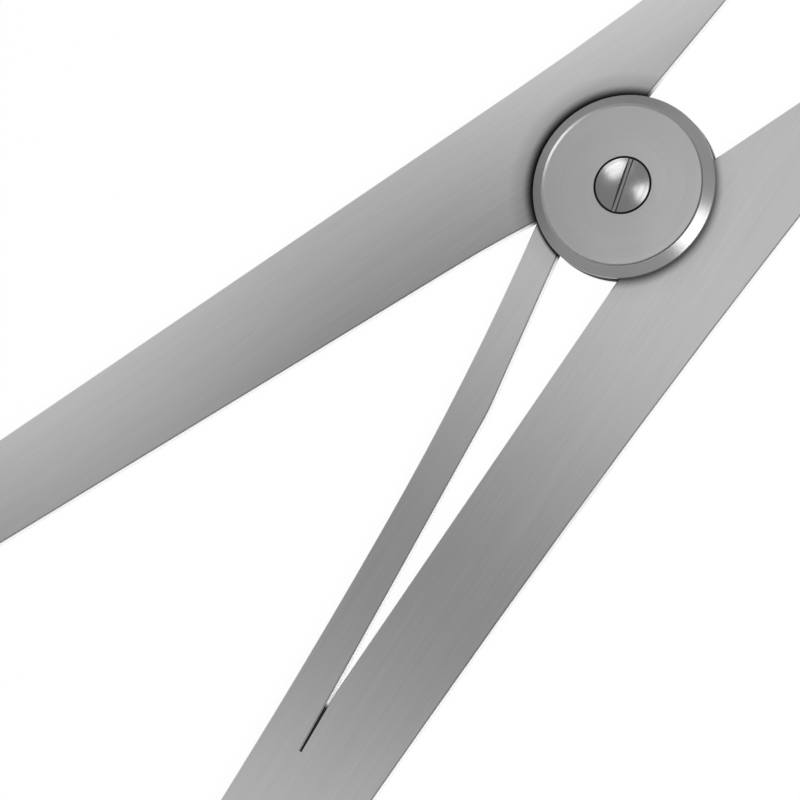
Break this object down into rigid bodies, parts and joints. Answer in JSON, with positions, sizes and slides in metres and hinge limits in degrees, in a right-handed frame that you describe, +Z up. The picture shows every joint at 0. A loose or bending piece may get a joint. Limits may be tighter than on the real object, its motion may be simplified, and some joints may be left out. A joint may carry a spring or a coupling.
{
  "type": "jewelers caliper",
  "caption": "Flat steel spring caliper: two tapering legs turn on a slotted pivot, a slit spring tongue closes the jaws, and a graduated arc reads their opening.",
  "frame": {"origin": "on the pivot axis, in the back face that the caliper rests on", "axes": "+X from the pivot towards the jaws, +Y towards the pointer leg, +Z up along the pivot, out of the slotted screw"},
  "size_m": [0.1242, 0.0597, 0.0024],
  "materials": {
    "leg_steel": "stainless spring steel, satin brushed along the legs",
    "arc_steel": "stainless steel, satin, with blackened graduations",
    "washer_steel": "turned steel, satin face with a polished chamfer",
    "screw_steel": "polished steel",
    "shim_steel": "dark spring steel shim"
  },
  "bodies": {
    "scale_side": {"scale_leg": "leg_steel", "scale_arc": "arc_steel", "front_washer": "washer_steel", "back_washer": "washer_steel", "front_shim": "shim_steel", "back_shim": "shim_steel", "pivot_post": "screw_steel", "pivot_screw": "screw_steel", "arc_screw_inner": "screw_steel", "arc_screw_outer": "screw_steel"},
    "pointer_side": {"pointer_leg": "leg_steel"},
    "tongue": {"spring_tongue": "leg_steel"}
  },
  "joints": [
    {"name": "leg_squeeze", "type": "hinge", "parent": "scale_side", "child": "pointer_side", "pos_m": [0, 0, 0.00115], "axis": [0, 0, 1], "range_deg": [0, 27], "stiffness_Nm_per_rad": 0.3, "springref_deg": -5.16},
    {"name": "tongue_flex", "type": "hinge", "parent": "scale_side", "child": "tongue", "pos_m": [-0.0375, -0.0114, 0.00115], "axis": [0, 0, 1], "range_deg": [-5.3, 0]}
  ],
  "couplings": [
    {"joint": "tongue_flex", "follows": "leg_squeeze", "ratio": -0.195}
  ]
}
